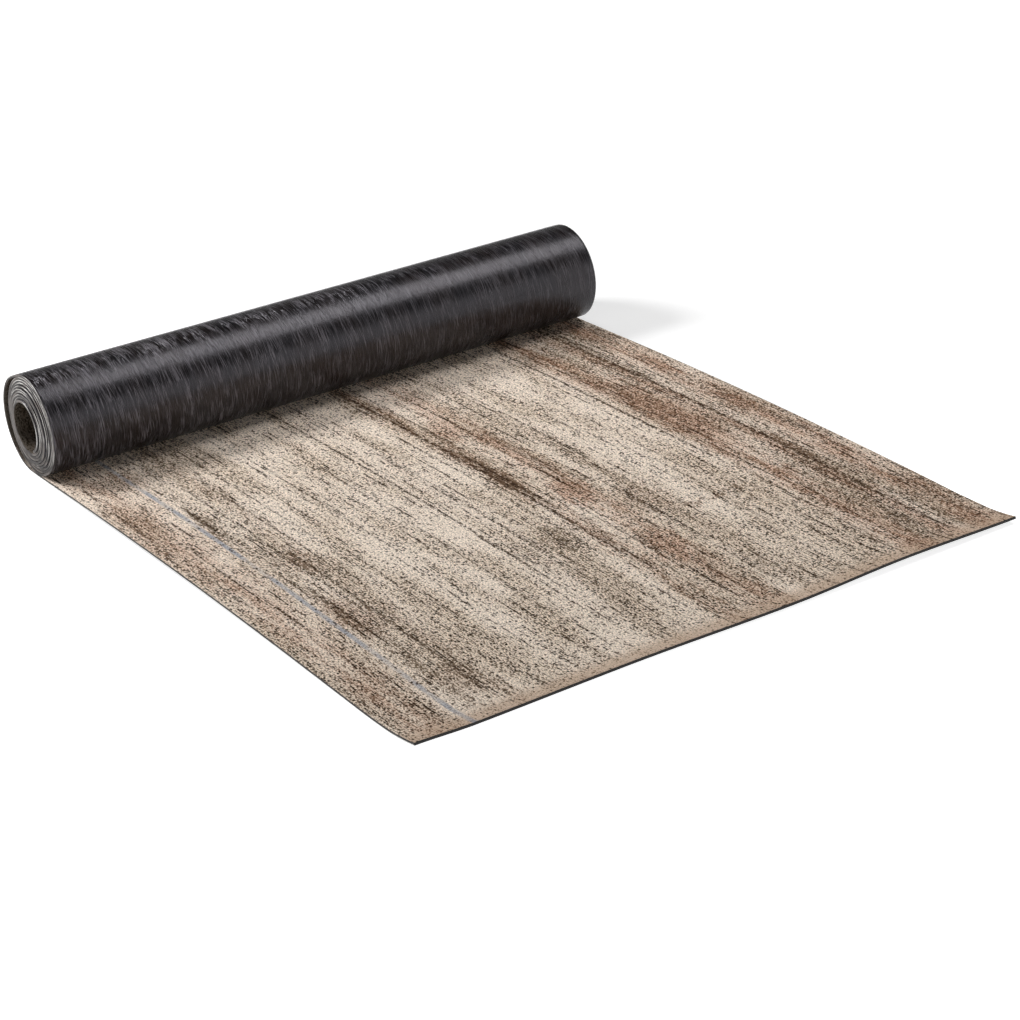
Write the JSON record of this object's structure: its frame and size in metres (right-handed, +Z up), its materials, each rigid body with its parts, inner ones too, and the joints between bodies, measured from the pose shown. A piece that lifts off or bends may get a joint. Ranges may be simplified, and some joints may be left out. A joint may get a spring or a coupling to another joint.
{
  "type": "roll of roofing felt",
  "caption": "Roll of mottled brown roofing felt, black on the back, wound in a coreless coil with about a metre unrolled flat.",
  "frame": {"origin": "on the floor, under the middle of the whole footprint, coil and unrolled tail together", "axes": "+X along the coil's axis and the sheet's width, -Y the way the tail lies, +Z up from the floor"},
  "size_m": [1.009, 1.1769, 0.1634],
  "materials": {
    "felt": "matte"
  },
  "bodies": {
    "root": {"felt_sheet": "felt"}
  },
  "joints": []
}
